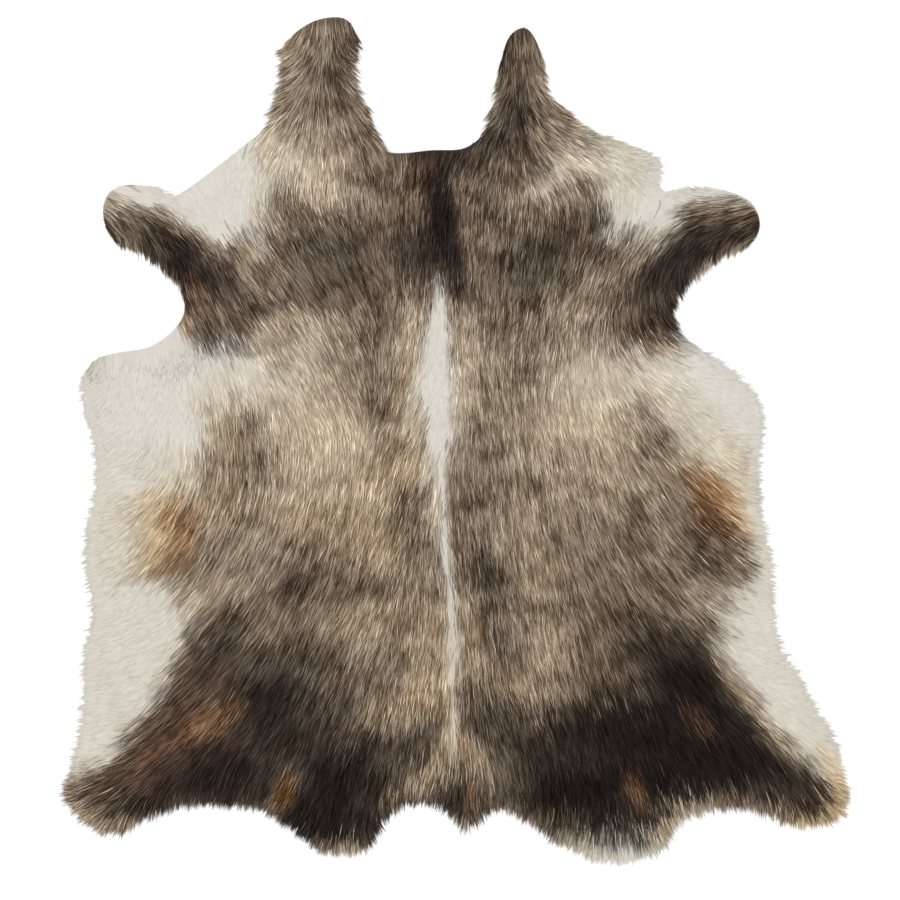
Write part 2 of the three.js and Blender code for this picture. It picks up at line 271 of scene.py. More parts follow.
    (-50.5, 0, 7, 5.2, 80, "stone", 0.5), (-49.5, -4.5, 8, 6, 80, "umber", 0.4),
    (-37, -16, 11, 6, 20, "beige", 0.6), (-17, -25, 6, 6, 30, "sand", 0.7),
    (-21, -41, 8, 4, 0, "sand", 0.6), (-21, -15.5, 7, 4, 35, "beige", 0.7),
    (-42, -17, 6, 6, 0, "beige", 0.5), (-73, -19, 15, 9, 75, "cream", 0.8),
    (-69, -13.5, 8, 6.5, 60, "honey", 0.75), (-70.5, -24.5, 7, 4.4, 58, "honey", 0.7),
    (-65, -18.5, 7, 4.4, 75, "ginger", 0.8), (-67, -28, 7, 3.6, 50, "ginger", 0.5),
    (-63, -17.5, 4, 2.4, 60, "rust", 0.5), (-57, -34, 8, 6, 60, "beige", 0.6),
    (-74, -9, 10, 4, 5, "white", 0.8), (-66, -11.5, 7, 4, 0, "cream", 0.75),
    (-55, 0, 6, 6, 60, "sand", 0.5), (-55, -15, 6, 6, 0, "sand", 0.55),
    (-75, -36, 9, 4.5, 10, "ivory", 0.95), (-55, -26.5, 8, 4.4, -10, "umber", 0.7),
    (-49, -22, 7, 4, 0, "stone", 0.5), (-30, -18, 14, 5, 0, "sand", 0.75),
    (-37, -28.5, 11, 3.2, 0, "umber", 0.65), (-36, -33, 4.5, 3, -20, "dark", 0.85),
    (-25, -33, 11, 3, 0, "umber", 0.8), (-23, -25.5, 9, 3.5, 0, "sand", 0.5),
    (-51.5, -31, 8, 4, 0, "stone", 0.5), (-56, -36, 8, 5, 60, "beige", 0.6),
    (-12, -17, 5.5, 4, 50, "umber", 0.8), (-8.5, -14, 4, 2.2, 60, "dusk", 0.6),
    (-8.5, -26.5, 4, 3.5, 60, "umber", 0.8), (-9.5, -43, 10, 5, 80, "sand", 0.4),
    (-6, -36, 4, 6, 0, "umber", 0.5), (-0.5, -50, 2.6, 6, 0, "cream", 0.6),
    (-45.5, -41, 7, 4, 0, "umber", 0.6), (-23, -43, 9, 4, 0, "sand", 0.8),
    (-4.5, -44, 7, 2.6, 90, "sand", 0.7), (-32, -38.5, 5, 3, 0, "umber", 0.6),
    (-53, -42, 9, 3.5, 0, "umber", 0.45), (-36, -41, 12, 5, -10, "umber", 0.45),
    (-37, -48, 5, 5, 0, "umber", 0.6), (-20.5, -38, 9, 3, 0, "stone", 0.4),
    # left rump and hind leg
    (-44, -72, 30, 16, 8, "dark", 0.85), (-66, -77, 17, 7, 32, "liver", 0.85),
    (-29, -90, 15, 9, 0, "black", 0.8), (-56.5, -50, 8, 6, 30, "dark", 0.85),
    (-44.5, -53, 9, 5, 0, "dark", 0.75), (-32.5, -51.5, 8, 6, 0, "dusk", 0.6),
    (-19, -55.5, 10, 6, 0, "stone", 0.6), (-12, -54.5, 7, 4, 10, "umber", 0.6),
    (-60, -58, 9, 5, 50, "chestnut", 0.9), (-69.5, -67, 9, 4, 38, "chestnut", 0.85),
    (-44.5, -62, 12, 6.5, 0, "black", 0.85), (-60, -55.5, 6, 3.4, 40, "dark", 0.8),
    (-29, -62, 9, 4, 10, "dusk", 0.6), (-12, -62.5, 10, 3, 18, "sand", 0.85),
    (-7, -61, 6, 6, 60, "sand", 0.8), (-10, -71, 8, 5, 10, "dusk", 0.85),
    (-25, -78.5, 12, 7, 0, "black", 0.95), (-14.5, -79, 6, 4, 0, "dusk", 0.7),
    (-72, -75, 12, 5, 35, "liver", 0.7), (-62, -68, 7, 5, 40, "chestnut", 0.7),
    (-66, -78, 9, 2.4, 35, "chestnut", 0.7), (-81.5, -81.5, 10, 3.5, 30, "chestnut", 0.8),
    (-56.5, -80, 13, 6.5, 0, "black", 0.95), (-83, -87.5, 9, 3, 15, "umber", 0.7),
    (-85, -83, 6, 3.4, 25, "dark", 0.6), (-81, -67, 10, 5, 62, "ivory", 0.9),
    (-69, -48, 8, 4.6, 45, "ivory", 0.9), (-54, -85, 14, 4, 0, "dark", 0.8),
    (-88, -90, 5, 2.5, 0, "sand", 0.5), (-74.5, -86, 10, 4, 15, "dark", 0.85),
    (-58, -67, 8, 3, 25, "ginger", 0.5), (-70, -73, 9, 2, 38, "rust", 0.5),
    (-62, -88, 14, 3, 0, "dark", 0.8), (-28, -99.6, 10, 3, 0, "beige", 0.7),
    (-30, -91, 12, 7, 0, "black", 0.97), (-40.8, -85, 3.8, 2.8, 70, "ginger", 0.75),
    (-40, -73, 12, 5, 5, "dark", 0.7), (-20, -90, 5, 7, 0, "dark", 0.8),
    (-64.5, -52, 12, 1.6, 69, "chestnut", 0.6), (-74, -68, 6, 1.8, 52, "chestnut", 0.7),
    (-90.5, -75.5, 5, 3.4, 60, "ivory", 0.8), (-24, -70.5, 4, 2.6, 0, "umber", 0.5),
    # right of the back
    (15.5, 26.5, 12, 8, 0, "stone", 0.45), (22.5, 24, 4, 4, 0, "umber", 0.6),
    (26, 21, 7, 4, 0, "beige", 0.5), (40, 26, 10, 6, 30, "umber", 0.55),
    (35, 16.5, 13, 5, 0, "cream", 0.7), (44.5, 15, 8, 5, 0, "cream", 0.8), (34, 7, 14, 9, 0, "beige", 0.9),
    (22, 5, 6, 8, 0, "beige", 0.4), (49, 11, 7, 7, 30, "cream", 0.75), (33, 13, 12, 6, 0, "cream", 0.5),
    (0.8, 9, 13, 2.2, 92, "cream", 0.7), (24, 13.5, 4, 4, 0, "taupe", 0.4),
    (18, 15.5, 3.2, 2, 80, "umber", 0.7), (3.5, 17, 12, 2.6, 90, "beige", 0.7),
    (5, 0, 6, 4, 80, "umber", 0.5), (21.5, -2, 11, 5, 0, "beige", 0.5), (11, -3.5, 6, 5, 0, "stone", 0.4),
    (18, -7, 11, 3, 10, "umber", 0.75), (9, -18, 5, 12, 0, "umber", 0.6),
    (47, 2.5, 7, 3.6, -75, "umber", 0.6), (53, -16, 4.6, 3.6, 0, "dusk", 0.75),
    (37, -6, 9, 4, -20, "beige", 0.6), (3.5, -10.5, 9, 4, 90, "umber", 0.6),
    (1.5, -18, 4, 2, 90, "dark", 0.5), (14.5, -19, 6, 7, 0, "beige", 0.5),
    (27.6, 29.5, 4.5, 3, 0, "beige", 0.5), (3.8, 26.5, 4.5, 1.8, 90, "umber", 0.4),
    (2.4, -28.6, 2.6, 3, 0, "dusk", 0.4), (12, -43, 3.4, 3, 0, "dusk", 0.4),
    # right flank
    (67, -12, 12, 4.6, 100, "cream", 0.8), (67, -11, 10, 5, -70, "honey", 0.7),
    (61.5, -12.5, 8, 4.6, -62, "ginger", 0.9), (61.5, -19, 8, 3.4, -60, "rust", 0.65),
    (58.5, -22.5, 7, 3.6, -60, "chestnut", 0.5), (65.5, -24.5, 5.6, 2.2, -52, "chestnut", 0.75),
    (69, -18, 8, 3, -64, "honey", 0.75), (72.5, -32.5, 5, 2.6, 10, "white", 0.9),
    (58, -28.5, 6, 4.4, 0, "dusk", 0.8), (76, -24, 14, 4.6, -62, "ivory", 1),
    (76.5, -1, 14, 4.4, 90, "white", 1), (77, -33, 7, 4.4, -25, "ivory", 1),
    (58, 1.5, 10, 6, -50, "cream", 0.8), (68, -6, 7, 5, -60, "cream", 0.5),
    (32.5, -20, 10, 5, 0, "umber", 0.45), (48, -20, 9, 6, -40, "umber", 0.55),
    (49.5, -9, 5, 4, -50, "beige", 0.4), (14, -31.5, 4, 4, -45, "dusk", 0.6),
    (33, -30, 8, 5, 90, "umber", 0.5), (7, -31, 5.5, 4.4, -40, "dark", 0.85),
    (11.5, -35, 5.5, 4, -45, "dusk", 0.5), (19, -32, 6, 6, 0, "sand", 0.45),
    (27, -43, 5, 5, 0, "umber", 0.5), (5.5, -45, 6, 2.6, 90, "sand", 0.6),
    (9, -44, 10, 3.4, -75, "dusk", 0.6), (14.5, -48, 4, 3, 0, "dusk", 0.5),
    (32.5, -36, 10, 4, 0, "umber", 0.45), (47, -37.5, 8, 3.5, 0, "umber", 0.5),
    (58, -37, 8, 3, -10, "taupe", 0.6), (49, -32, 6, 3.6, 0, "dusk", 0.6),
    (43.5, -4, 3.4, 4.6, 30, "umber", 0.5), (74.5, -28.5, 6, 3.2, -60, "ivory", 1),
    (65, -19.5, 3.5, 2.4, -60, "ginger", 0.5),
    # right rump and hind leg
    (44, -77, 27, 13, 0, "black", 0.85), (33, -88, 18, 10, 0, "black", 0.85),
    (46, -60, 13, 9, 0, "dark", 0.75), (37, -42, 12, 8, 0, "umber", 0.6),
    (32, -29, 10, 7, -20, "umber", 0.4), (30, -60, 9, 4, 5, "umber", 0.5),
    (57, -44, 6, 5, 0, "dusk", 0.55), (14, -55, 7, 5, 0, "umber", 0.5), (35, -42, 10, 4, 0, "stone", 0.5),
    (25.5, -50, 6, 5, 60, "sand", 0.5), (27, -58, 7, 4, 10, "umber", 0.5),
    (35, -50, 8, 5, 0, "umber", 0.7), (45, -48, 8, 6, 0, "dark", 0.8),
    (54.5, -52.5, 10, 7.5, -40, "dark", 0.95), (36.5, -57.5, 6, 3, 0, "umber", 0.7),
    (26, -61.5, 8, 1.8, -10, "sand", 0.5), (12, -58, 9, 3, -18, "sand", 0.7),
    (9, -66, 9, 5, -45, "dusk", 0.9), (20, -70.5, 9, 6, 0, "dark", 0.85),
    (35, -67.5, 12, 5.5, 0, "black", 0.85), (48, -72, 16, 12, 0, "black", 0.98),
    (56.5, -60, 10, 7, -45, "black", 0.9), (64, -69, 13, 8, -45, "black", 0.97),
    (13.5, -76.5, 5, 4, 0, "dark", 0.6), (32.5, -85, 12, 7, 0, "black", 0.97),
    (24, -80, 8, 6, 0, "black", 0.8), (25, -93, 8, 3, -20, "umber", 0.5),
    (44.5, -91.5, 8, 4, 0, "dark", 0.85), (56, -81, 15, 4.6, 0, "black", 0.9),
    (75.5, -80, 12, 6, -8, "black", 0.9), (86.5, -83.5, 6, 5, 0, "dark", 0.9),
    (91.5, -80, 6, 2.6, -65, "honey", 0.7), (75, -78, 9, 3.4, -35, "black", 0.8),
    (79, -65.5, 11, 4.8, -50, "ivory", 0.95), (69, -49, 10, 4.8, -70, "ivory", 0.9),
    (84, -84, 8, 4, -20, "dark", 0.8), (68.5, -87.5, 8, 1.2, 0, "umber", 0.5),
    (58, -67, 4, 3, -40, "chestnut", 0.7), (42.5, -84, 3.2, 2.6, -60, "rust", 0.7),
    (41, -99.5, 11, 5, 12, "white", 1), (49, -95.5, 6, 4, 40, "cream", 0.95),
    (30, -97.5, 6, 2.4, -15, "cream", 0.7), (78, -86.5, 9, 4, 0, "dark", 0.85),
    (54, -91.5, 7, 2.6, 20, "sand", 0.8), (58, -91, 5, 3, 30, "cream", 0.8),
    (67, -89.8, 10, 1.6, 0, "taupe", 0.6), (92, -88, 3, 6, -30, "honey", 0.7),
    (87, -92, 8, 2.6, 5, "honey", 0.8), (86.5, -76.5, 4.5, 2.4, -35, "cream", 0.9),
    (71, -63.6, 14, 1.2, -50, "sand", 0.5),
    # tail
    (7, -67, 8, 8, 0, "dusk", 0.65), (-5, -87, 17, 5, 0, "dark", 0.75), (12, -83, 6, 5, 0, "dark", 0.7),
    (-9, -74, 7, 5, 60, "dusk", 0.8), (-6, -62, 5, 2.6, 30, "sand", 0.9),
    (-1, -66, 9, 1.5, 90, "sand", 0.7), (-5, -77.5, 8, 1.8, 48, "sand", 0.85),
    (-13, -84, 5, 1.8, 28, "sand", 0.6), (4.5, -74.5, 7, 2.2, -52, "sand", 0.85),
    (2, -82, 4, 4, 0, "dark", 0.7), (-1, -86, 5, 5, 90, "dark", 0.9), (3.5, -83, 4, 1.6, 90, "rust", 0.6),
    (0.6, -73, 5, 2, 90, "sand", 0.6), (1.5, -91, 3, 3, 0, "dark", 0.7),
    # stripe along the back
    (-9, 12, 13, 2.4, 86, "cream", 0.6), (-5.5, -10, 16, 2.2, 96, "cream", 0.7),
    (-4, 33, 6.5, 1.6, 88, "white", 1), (-4.5, 24, 9, 3.5, 90, "white", 1),
    (-4.7, 11, 10, 4.1, 90, "white", 1), (-4.3, 2, 10, 3.4, 91, "white", 1),
    (-3.6, -9, 9, 1.7, 94, "white", 1), (-2.2, -25, 12, 1.4, 94, "white", 1),
    (-1.2, -39, 10, 1.6, 93, "white", 0.95), (-0.5, -51.5, 8, 2, 90, "cream", 0.9),
    (-0.6, -66, 12, 1.1, 90, "cream", 0.8),
]
PATCH_SOFTNESS = 0.5
WHITE_SOFTNESS = 0.34

# Noise that frays the patches' edges.
# Table columns: cell size in millimetres, shift in x, shift in y, seed of the first.
FRAYS = [
    (45, 2.0, 2.6, 3),
    (14, 1.4, 1.6, 5),
]

# Colour of the strands. Lightness is the mean of a linear colour.
MIXED_LIGHTNESS = (0.3, 0.6)  # up to the first light and dark hair mix, and from the second all is white
BLACK_CONTRAST = 1.15  # contrast of the streaks in black hair
DARK_GAIN = 0.55  # what dark brown hair gains
DARK_LIGHTNESS = (0.01, 0.06)
PALE_LOSS = 4.4  # what lighter hair loses
PALE_START = 0.1
PALE_SPAN = 0.24
MOST_GAIN = 1.9
PALE_TONE = "cream"  # what the lightest strands of a mixed coat lean towards
PALE_SHARE = 0.5
EVEN_PAINTED_SHADING = 0.1  # what is left of a layer's painted shading where the coat is white
ROOT_SHADE = 0.5  # how much darker a strand is at its root, partly its own colour and partly painted shade under the coat, and how far along it that fades
ROOT_REACH = 0.7
SHADE_WARMTH = (0.88, 1.0, 1.12)  # the darkened part of a strand, painted shade and darker streaks alike, is browner than the rest of it
TIP_START = 0.3  # from here a strand at the fringe takes on the tone of the coat at its tip
FRINGE_WIDTH = 25 * MM
FRINGE_SHARE = 0.9

# Layers of strands, from the skin up. Spacing, width and lift are in millimetres, and spread in degrees.
Layer = namedtuple("Layer", "name spacing length_share width lift spread sections brightness contrast seed")
# A layer's brightness factor is painted shading where the coat is mixed: painted shade that darkens the
# lower layers between the strands, and painted light that lightens the upper ones.
LAYERS = [
    Layer("undercoat", 6.4, 1.00, 5.2, 3.0, 6, 3, 0.66, 0.10, 11),
    Layer("coat_1", 6.3, 1.20, 3.8, 6.0, 4, 3, 0.86, 0.18, 21),
    Layer("coat_2", 6.3, 1.25, 3.0, 8.0, 4, 3, 1.00, 0.24, 22),
    Layer("coat_3", 8.3, 1.30, 2.6, 9.5, 4, 4, 1.12, 0.32, 23),
    Layer("guard_hair", 8.6, 1.35, 2.2, 10.5, 5, 4, 1.18, 0.40, 31),
]
CLUMP_SIZE = 7 * MM
CLUMP_SEED = 77
CLUMP_TABLE = 512

# Shape of the strands. A pair is the least and the most.
CLUMP_LENGTHS = (0.82, 1.18)
CLUMP_WIDTHS = (0.8, 1.2)
LENGTHS = (0.8, 1.08)
LIFTS = (0.55, 1.1)
LEANS = (0.4, 0.8)  # how far a strand leans over to its clump's centre
LEAN_POWER = 1.4  # above 1, it does so mostly near the tip
RISE_POWER = 1.5  # above 1, it rises mostly near the root
ROOT_WIDTH = 0.55  # a strand's width at the root, and how fast it widens before it narrows to the tip
BELLY = 1.6
SHOWN_PART = 0.6  # where along a strand it shows, and how that varies by strand and by clump
SHOWN_SPREAD = 0.3
SHOWN_BY_CLUMP = 0.5
ROLL_SPREAD = 34
USUAL_LENGTH = 4.6 * CM  # hair this long has its layer's lift
WHITE_LIFT = 0.14  # white hair lies smoother: what is left there of the lift
WHITE_WIDTH = 2.6  # and how much wider its strands are this far in from the edge, to close the gaps
WHITE_EDGE = 30 * MM
DROOP = 0.8  # past the leather's edge the hair sinks by this share of its height
DROOP_REACH = 30 * MM
LOWEST_HAIR = 0.6 * MM
TIPS = (-16 * MM, 13 * MM)  # how far out from the outline the tips end
TIP_POWER = 0.6  # below 1, more of the tips are long ones
CLUMP_TIP_POWER = 0.5
LEAST_TRIMMED = 0.35  # share of its length that a trimmed strand keeps
CELL_SIDES = (0.2, 0.8)  # where a strand lies in its own cell of the map
CELL_ENDS = (0.1, 0.9)

# Light and camera
VIEW_WIDTH = 2.16
LENS = 85
SENSOR = 36
VIEW_CENTRE = (-0.012, -0.0206)
FARTHEST = 50
FLOOR_SIZE = 80
FLOOR_GREY = 0.93
SKY_STRENGTH = 0.8
SUN_STRENGTH = 1.8
SUN_ANGLE = 40
SUN_TILT = (-38, -30, 0)


def smoothstep(low, high, value):
    share = np.clip((value - low) / (high - low), 0, 1)
    return share * share * (3 - 2 * share)


def between(limits, share):
    return limits[0] + (limits[1] - limits[0]) * share


def unit(way):
    return way / (np.hypot(*way) + TINY)


def sideways(way):
    return np.array([-way[1], way[0]])


def linear(srgb):
    c = np.asarray(srgb, float) / 255
    return np.where(c <= 0.04045, c / 12.92, ((c + 0.055) / 1.055) ** 2.4)


def blended(values, columns, rows, share_x, share_y):
    """The value inside a grid's cell, from those at its corners."""
    a, b = columns
    low, high = (values[..., a, row] * (1 - share_x) + values[..., b, row] * share_x for row in rows)
    return low * (1 - share_y) + high * share_y


class Noise:
    """Smooth random values from 0 to 1 over the plane, the same each run."""

    SIZE = 256

    def __init__(self, seed):
        self.table = np.random.default_rng(seed).random((self.SIZE, self.SIZE))

    def __call__(self, x, y, scale):
        u, v = x / scale, y / scale
        i, j = np.floor(u).astype(int), np.floor(v).astype(int)
        columns = i % self.SIZE, (i + 1) % self.SIZE
        rows = j % self.SIZE, (j + 1) % self.SIZE
        return blended(self.table, columns, rows, smoothstep(0, 1, u - i), smoothstep(0, 1, v - j))


class Field:
    """Values on the hide's grid, or pairs of them, read anywhere in between."""

    def __init__(self, low, values):
        self.low = low
        self.values = values

    def __call__(self, x, y):
        last_x, last_y = np.array(self.values.shape[-2:]) - 2
        u, v = (x - self.low[0]) / FIELD_STEP, (y - self.low[1]) / FIELD_STEP
        i, j = np.clip(u.astype(int), 0, last_x), np.clip(v.astype(int), 0, last_y)
        return blended(self.values, (i, i + 1), (j, j + 1), np.clip(u - i, 0, 1), np.clip(v - j, 0, 1))


# Outline
def outline_of(obj):
    """The loop around the object's flat underside, as points in the plane."""
    mesh = obj.data
    points = np.array([v.co[:] for v in mesh.vertices])
    keys = [tuple(np.round(p / SAME_POINT).astype(int)) for p in points]
    follows = {}
    for face in mesh.polygons:
        corners = list(face.vertices)
        if max(points[c][2] for c in corners) > UNDERSIDE_HEIGHT:
            continue
        for a, b in zip(corners, corners[1:] + corners[:1]):
            if follows.get(keys[b], {}).pop(keys[a], None) is None:
                follows.setdefault(keys[a], {})[keys[b]] = points[b][:2]
    nexts = {key: next(iter(ends.items())) for key, ends in follows.items() if ends}
    start = key = next(iter(nexts))
    loop = []
    while True:
        key, point = nexts[key]
        loop.append(point)
        if key == start:
            return np.array(loop)


def resampled(loop, step):
    ends = np.vstack([loop, loop[:1]])
    along = np.concatenate([[0], np.cumsum(np.linalg.norm(np.diff(ends, axis=0), axis=1))])
    count = int(round(along[-1] / step))
    at = np.arange(count) * along[-1] / count
    return np.column_stack([np.interp(at, along, ends[:, 0]), np.interp(at, along, ends[:, 1])])


def inside(loop, x, y):
    found = np.zeros(x.shape, bool)
    for (ax, ay), (bx, by) in zip(loop, np.roll(loop, -1, axis=0)):
        if ay == by:
            continue
        crosses = (ay > y) != (by > y)
        found ^= crosses & (x < ax + (bx - ax) * (y - ay) / (by - ay))
    return found


def distance(loop, x, y):
    nearest = np.full(x.shape, np.inf)
    for (ax, ay), (bx, by) in zip(loop, np.roll(loop, -1, axis=0)):
        dx, dy = bx - ax, by - ay
        share = np.clip(((x - ax) * dx + (y - ay) * dy) / (dx * dx + dy * dy), 0, 1)
        nearest = np.minimum(nearest, np.hypot(x - ax - share * dx, y - ay - share * dy))
    return nearest


def loop_area(loop):
    x, y = loop.T
    return float(abs(np.sum(x * np.roll(y, -1) - y * np.roll(x, -1))) / 2)


# Smoothing
def softened(values, rounds):
    """A grid of values, each evened out with the four beside it."""
    for _ in range(rounds):
        beside = sum(np.roll(values, side, axis) for axis in (0, 1) for side in (1, -1))
        values = (values + beside) / 5
    return values


def smoothed(values, rounds):
    """A closed row of values, each evened out with the two beside it."""
    for _ in range(rounds):
        values = (np.roll(values, 1, axis=0) + 2 * values + np.roll(values, -1, axis=0)) / 4
    return values


def weighted(table, reach, x, y, value):
    """The mean of value(entry) over the table's rows, weighted by nearness."""
    total = weights = 0
    for row_x, row_y, entry in table:
        squared = ((x - row_x * CM) ** 2 + (y - row_y * CM) ** 2) / reach**2
        weight = np.exp(-squared) + FAR_WEIGHT / (1 + squared) ** 2
        total = total + weight * value(entry)
        weights = weights + weight
    return total / weights


def lie_of_hair(x, y, depth, out):
    """The way the hair points, with the fan that it opens into at the edge."""
    way = unit(np.array([
        weighted(HAIR_DIRECTIONS, FLOW_REACH, x, y, lambda heading: part(math.radians(heading)))
        for part in (math.cos, math.sin)
    ]))
    facing = (way * out).sum(axis=0)
    fan = FAN_TURN * smoothstep(*FAN_FACING, facing) * (1 - smoothstep(0, FAN_WIDTH, depth))
    return unit(way + fan * out)


class Hide:
    """The hide's outline and what the coat does at each place on it."""

    def __init__(self, loop):
        self.loop = loop
        self.low = loop.min(axis=0) - FIELD_MARGIN
        self.high = loop.max(axis=0) + FIELD_MARGIN
        counts = np.ceil((self.high - self.low) / FIELD_STEP).astype(int) + 1
        steps_x, steps_y = (FIELD_STEP * np.arange(count) for count in counts)
        x, y = np.meshgrid(self.low[0] + steps_x, self.low[1] + steps_y, indexing="ij")
        depth = distance(loop, x, y) * np.where(inside(loop, x, y), 1, -1)
        out = unit(-np.array(np.gradient(softened(depth, DEPTH_ROUNDS))) / FIELD_STEP)
        way = lie_of_hair(x, y, depth, out)
        length = weighted(HAIR_LENGTHS, LENGTH_REACH, x, y, lambda entry: entry * CM)
        reached = OVERHANG * length * smoothstep(*OVERHANG_FACING, (way * out).sum(axis=0))
        self.depth = Field(self.low, depth)
        self.way = Field(self.low, way)
        self.out = Field(self.low, out)
        self.length = Field(self.low, length)
        self.overhang = Field(self.low, softened(np.maximum(CUT_MARGIN, reached), OVERHANG_ROUNDS))

    def drawn_out(self, start, across, table):
        """Noise drawn out along the lie of the hair, or across it."""
        places = [start]
        for stride in (-STREAK_STRIDE, STREAK_STRIDE):
            place = start
            for _ in range(STREAK_STRIDES):
                way = self.way(*place)
                place = place + stride * (sideways(way) if across else way)
                places.append(place)
        result = 0
        for cell, seed, contrast in table:
            noise = Noise(seed)
            total = sum(noise(*place, cell * MM) for place in places)
            result = result + contrast * (total - total.mean()) / total.std()
        return result

    def streak(self, place):
        return self.drawn_out(place, False, STREAKS_ALONG) + self.drawn_out(place, True, BANDS_ACROSS)

    def leather_loop(self):
        """The leather's cut edge: the hair tips' outline, drawn in by what the hair reaches past it."""
        loop = resampled(self.loop, EDGE_STEP)
        draw = smoothed(self.overhang(*loop.T), DRAW_ROUNDS)
        loop = loop - (self.out(*loop.T) * draw).T
        return resampled(smoothed(loop, EDGE_ROUNDS), EDGE_STEP)

    def ground(self, x, y):
        """How high the leather lies off the floor: flat, but for slight lifts along its edge."""
        near_edge = 1 - smoothstep(0, LIFT_REACH, self.depth(x, y))
        lift = smoothstep(*LIFT_NOISE, Noise(LIFT_SEED)(x, y, LIFT_CELL))
        return LIFT_HEIGHT * near_edge * lift

    def tone(self, x, y):
        """The coat's mean colour at a place."""
        px, py = x / CM, y / CM
        for cell, shift_x, shift_y, seed in FRAYS:
            px = px + shift_x * (Noise(seed)(x, y, cell * MM) - 0.5)
            py = py + shift_y * (Noise(seed + 1)(x, y, cell * MM) - 0.5)
        color = np.tile(linear(TONES[BASE_TONE]), (len(x), 1))
        for cx, cy, half_length, half_width, heading, tone, strength in PATCHES:
            cosine, sine = math.cos(math.radians(heading)), math.sin(math.radians(heading))
            along = ((px - cx) * cosine + (py - cy) * sine) / half_length
            across = ((py - cy) * cosine - (px - cx) * sine) / half_width
            reach = np.hypot(along, across)
            softness = WHITE_SOFTNESS if tone in ("white", "ivory") else PATCH_SOFTNESS
            cover = strength * (1 - smoothstep(1 - softness, 1 + softness, reach))
            color += cover[:, None] * (linear(TONES[tone]) - color)
        return color


def placed(name, data):
    """A new object in the scene."""
    obj = bpy.data.objects.new(name, data)
    bpy.context.scene.collection.objects.link(obj)
    return obj


def paint(mesh, color):
    layer = mesh.color_attributes.new(name="coat", type="FLOAT_COLOR", domain="POINT")
    rgba = np.column_stack([color, np.ones(len(color))]).astype(np.float32)
    layer.data.foreach_set("color", rgba.ravel())


# Leather
def upward(flat, face):
    """The triangle's corners, anticlockwise as seen from above."""
    a, b, c = (flat[i] for i in face)
    turn = (b[0] - a[0]) * (c[1] - a[1]) - (b[1] - a[1]) * (c[0] - a[0])
    return tuple(face) if turn > 0 else tuple(reversed(face))


def leather_plan(hide, loop):
    """The leather's points in the plane, and the triangles between them."""
    columns, rows = (np.arange(low, high, LEATHER_STEP) for low, high in zip(hide.low, hide.high))
    x, y = (grid.ravel() for grid in np.meshgrid(columns, rows))
    keep = inside(loop, x, y)
    x, y = x[keep], y[keep]
    keep = distance(loop, x, y) > EDGE_MARGIN
    points = [Vector(p) for p in loop] + [Vector(p) for p in zip(x[keep], y[keep])]
    edges = [(i, (i + 1) % len(loop)) for i in range(len(loop))]
    out = geometry.delaunay_2d_cdt(points, edges, [list(range(len(loop)))], 1, MERGE_DISTANCE)
    flat = np.array([v[:] for v in out[0]])
    return flat, [upward(flat, face) for face in out[2]]


def rim_of(faces):
    """The edges that only one face has."""
    sides = {}
    for face in faces:
        for a, b in zip(face, face[1:] + face[:1]):
            if sides.pop((b, a), None) is None:
                sides[(a, b)] = True
    return sides


def build_leather(hide):
    loop = hide.leather_loop()
    flat, plan = leather_plan(hide, loop)
    count = len(flat)
    bottom = hide.ground(*flat.T)
    heights = (bottom, bottom + LEATHER_THICKNESS)
    verts = np.vstack([np.column_stack([flat, height]) for height in heights])
    top_faces = [tuple(i + count for i in face) for face in plan]
    bottom_faces = [tuple(reversed(face)) for face in plan]
    wall_faces = [(a, b, b + count, a + count) for a, b in rim_of(plan)]
    mesh = bpy.data.meshes.new("hide_leather")
    mesh.from_pydata(verts.tolist(), [], top_faces + bottom_faces + wall_faces)
    mesh.materials.append(suede_material())
    mesh.materials.append(hair_material("hair_side"))
    slots = np.zeros(len(mesh.polygons), np.int32)
    slots[: len(top_faces)] = 1
    mesh.polygons.foreach_set("material_index", slots)
    tone = hide.tone(verts[:, 0], verts[:, 1])
    # the leather's top takes the coat's tone, darkened under mixed hair as painted shade
    paint(mesh, tone * (1 - PAINTED_SHADE_UNDER_HAIR * mixed(tone))[:, None])
    uv = mesh.uv_layers.new(name="UVMap")
    spots = verts[[corner.vertex_index for corner in mesh.loops]][:, :2]
    uv.data.foreach_set("uv", spots.astype(np.float32).ravel())
    mesh.update()
    return placed("hide_leather", mesh), np.ptp(flat, axis=0), loop_area(loop)


# Strands
def scattered_roots(hide, spacing, rng):
    columns, rows = (np.arange(low, high, spacing) for low, high in zip(hide.low, hide.high))
    places = np.array(np.meshgrid(columns, rows, indexing="ij")).reshape(2, -1)
    places = places + spacing * (rng.random(places.shape) - 0.5)
    return places[:, hide.depth(*places) > hide.overhang(*places)]


def clump_of(roots):
    """The nearest clump centre to each root, and a random number that its clump shares."""
    jitter = np.random.default_rng(CLUMP_SEED).random((CLUMP_TABLE, CLUMP_TABLE, 3))
    cell = np.floor(roots / CLUMP_SIZE).astype(int)
    nearest = np.inf
    centre = shared = 0
    for beside in product((-1, 0, 1), repeat=2):
        near = cell + np.array(beside)[:, None]
        *offset, number = jitter[tuple(near % CLUMP_TABLE)].T
        near = (near + offset) * CLUMP_SIZE
        far = np.hypot(*(near - roots))
        centre = np.where(far < nearest, near, centre)
        shared = np.where(far < nearest, number, shared)
        nearest = np.minimum(far, nearest)
    return centre, shared


def strand_path(hide, roots, length, turn, steps):
    """The points of each strand, and the way it runs at each of them."""
    points = [roots]
    ways = []
    for step in np.diff(steps):
        way = hide.way(*points[-1])
        ways.append(unit(way * np.cos(turn) + sideways(way) * np.sin(turn)))
        points.append(points[-1] + ways[-1] * length * step)
    return points, ways + ways[-1:]


def trimmed(hide, tips, length, shared, rng):
    """Each strand's length, cut back where its tip would pass the hair tips' outline by too much."""
    furthest = between(TIPS, rng.random(len(length)) ** TIP_POWER * shared**CLUMP_TIP_POWER)
    excess = np.clip(-hide.depth(*tips) - furthest, 0, None)
    return np.clip(length - excess, LEAST_TRIMMED * length, None)


